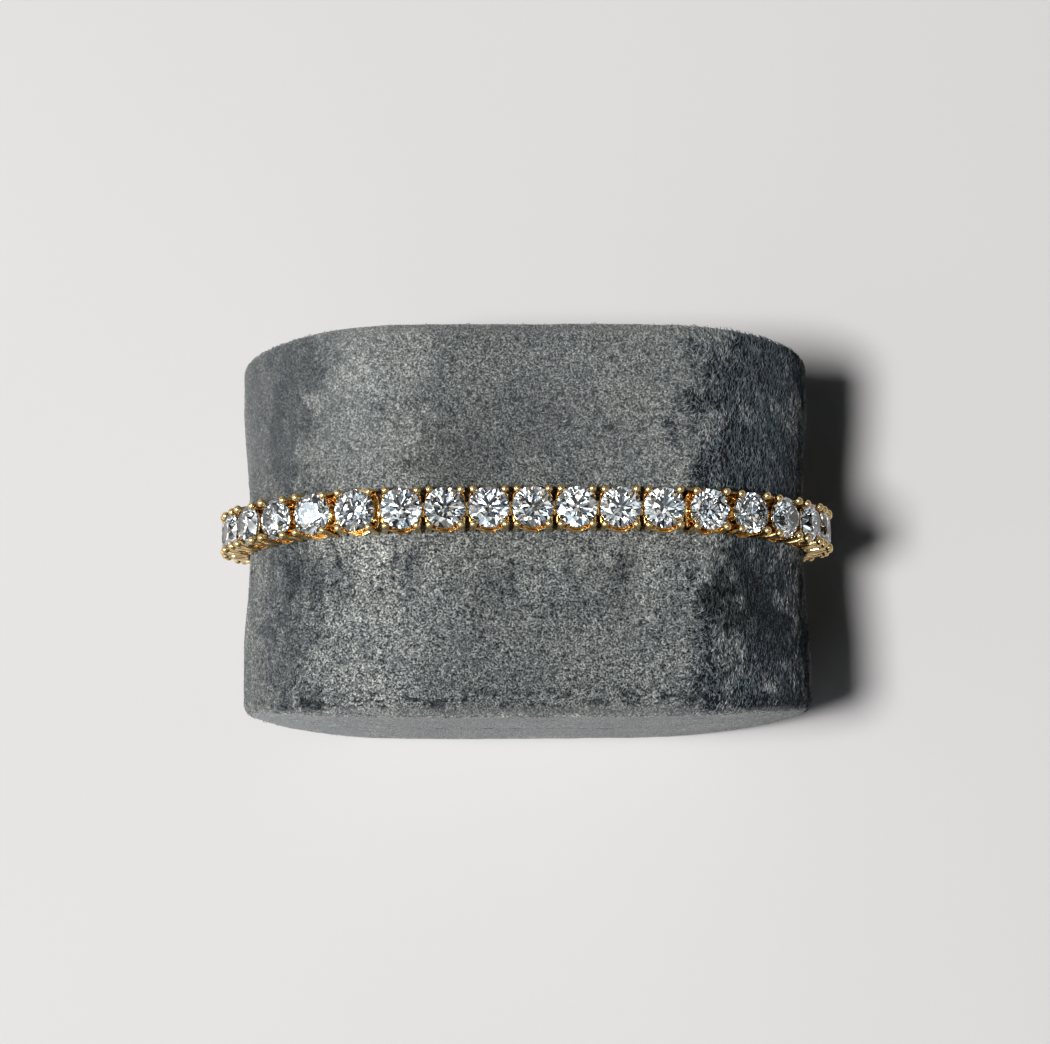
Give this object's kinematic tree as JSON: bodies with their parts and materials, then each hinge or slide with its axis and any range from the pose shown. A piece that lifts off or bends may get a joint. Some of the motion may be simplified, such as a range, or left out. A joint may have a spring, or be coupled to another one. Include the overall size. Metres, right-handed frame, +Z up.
{
  "type": "tennis bracelet on a display cushion",
  "caption": "Four-prong tennis bracelet of round clear stones in gold-coloured basket settings, fastened round a grey suede display cushion.",
  "frame": {"origin": "under the middle of the part, on the surface that the cushion stands on", "axes": "+X along the cushion's wide face and the bracelet's long run, +Y along the axis that the bracelet goes round, +Z up through the flat run of stones"},
  "size_m": [0.0774, 0.0484, 0.0457],
  "materials": {
    "gold": "polished yellow gold plating",
    "stone": "clear, faceted and polished",
    "suede": "soft grey suede microfibre with a brushed nap"
  },
  "bodies": {
    "root": {"stone_01": "stone", "stone_02": "stone", "stone_03": "stone", "stone_04": "stone", "stone_05": "stone", "stone_06": "stone", "stone_07": "stone", "stone_08": "stone", "stone_09": "stone", "stone_10": "stone", "stone_11": "stone", "stone_12": "stone", "stone_13": "stone", "stone_14": "stone", "stone_15": "stone", "stone_16": "stone", "stone_17": "stone", "stone_18": "stone", "stone_19": "stone", "stone_20": "stone", "stone_21": "stone", "stone_22": "stone", "stone_23": "stone", "stone_24": "stone", "stone_25": "stone", "stone_26": "stone", "stone_27": "stone", "stone_28": "stone", "stone_29": "stone", "stone_30": "stone", "stone_31": "stone", "stone_32": "stone", "stone_33": "stone", "setting_chain": "gold", "clasp": "gold", "display_cushion": "suede"}
  },
  "joints": []
}
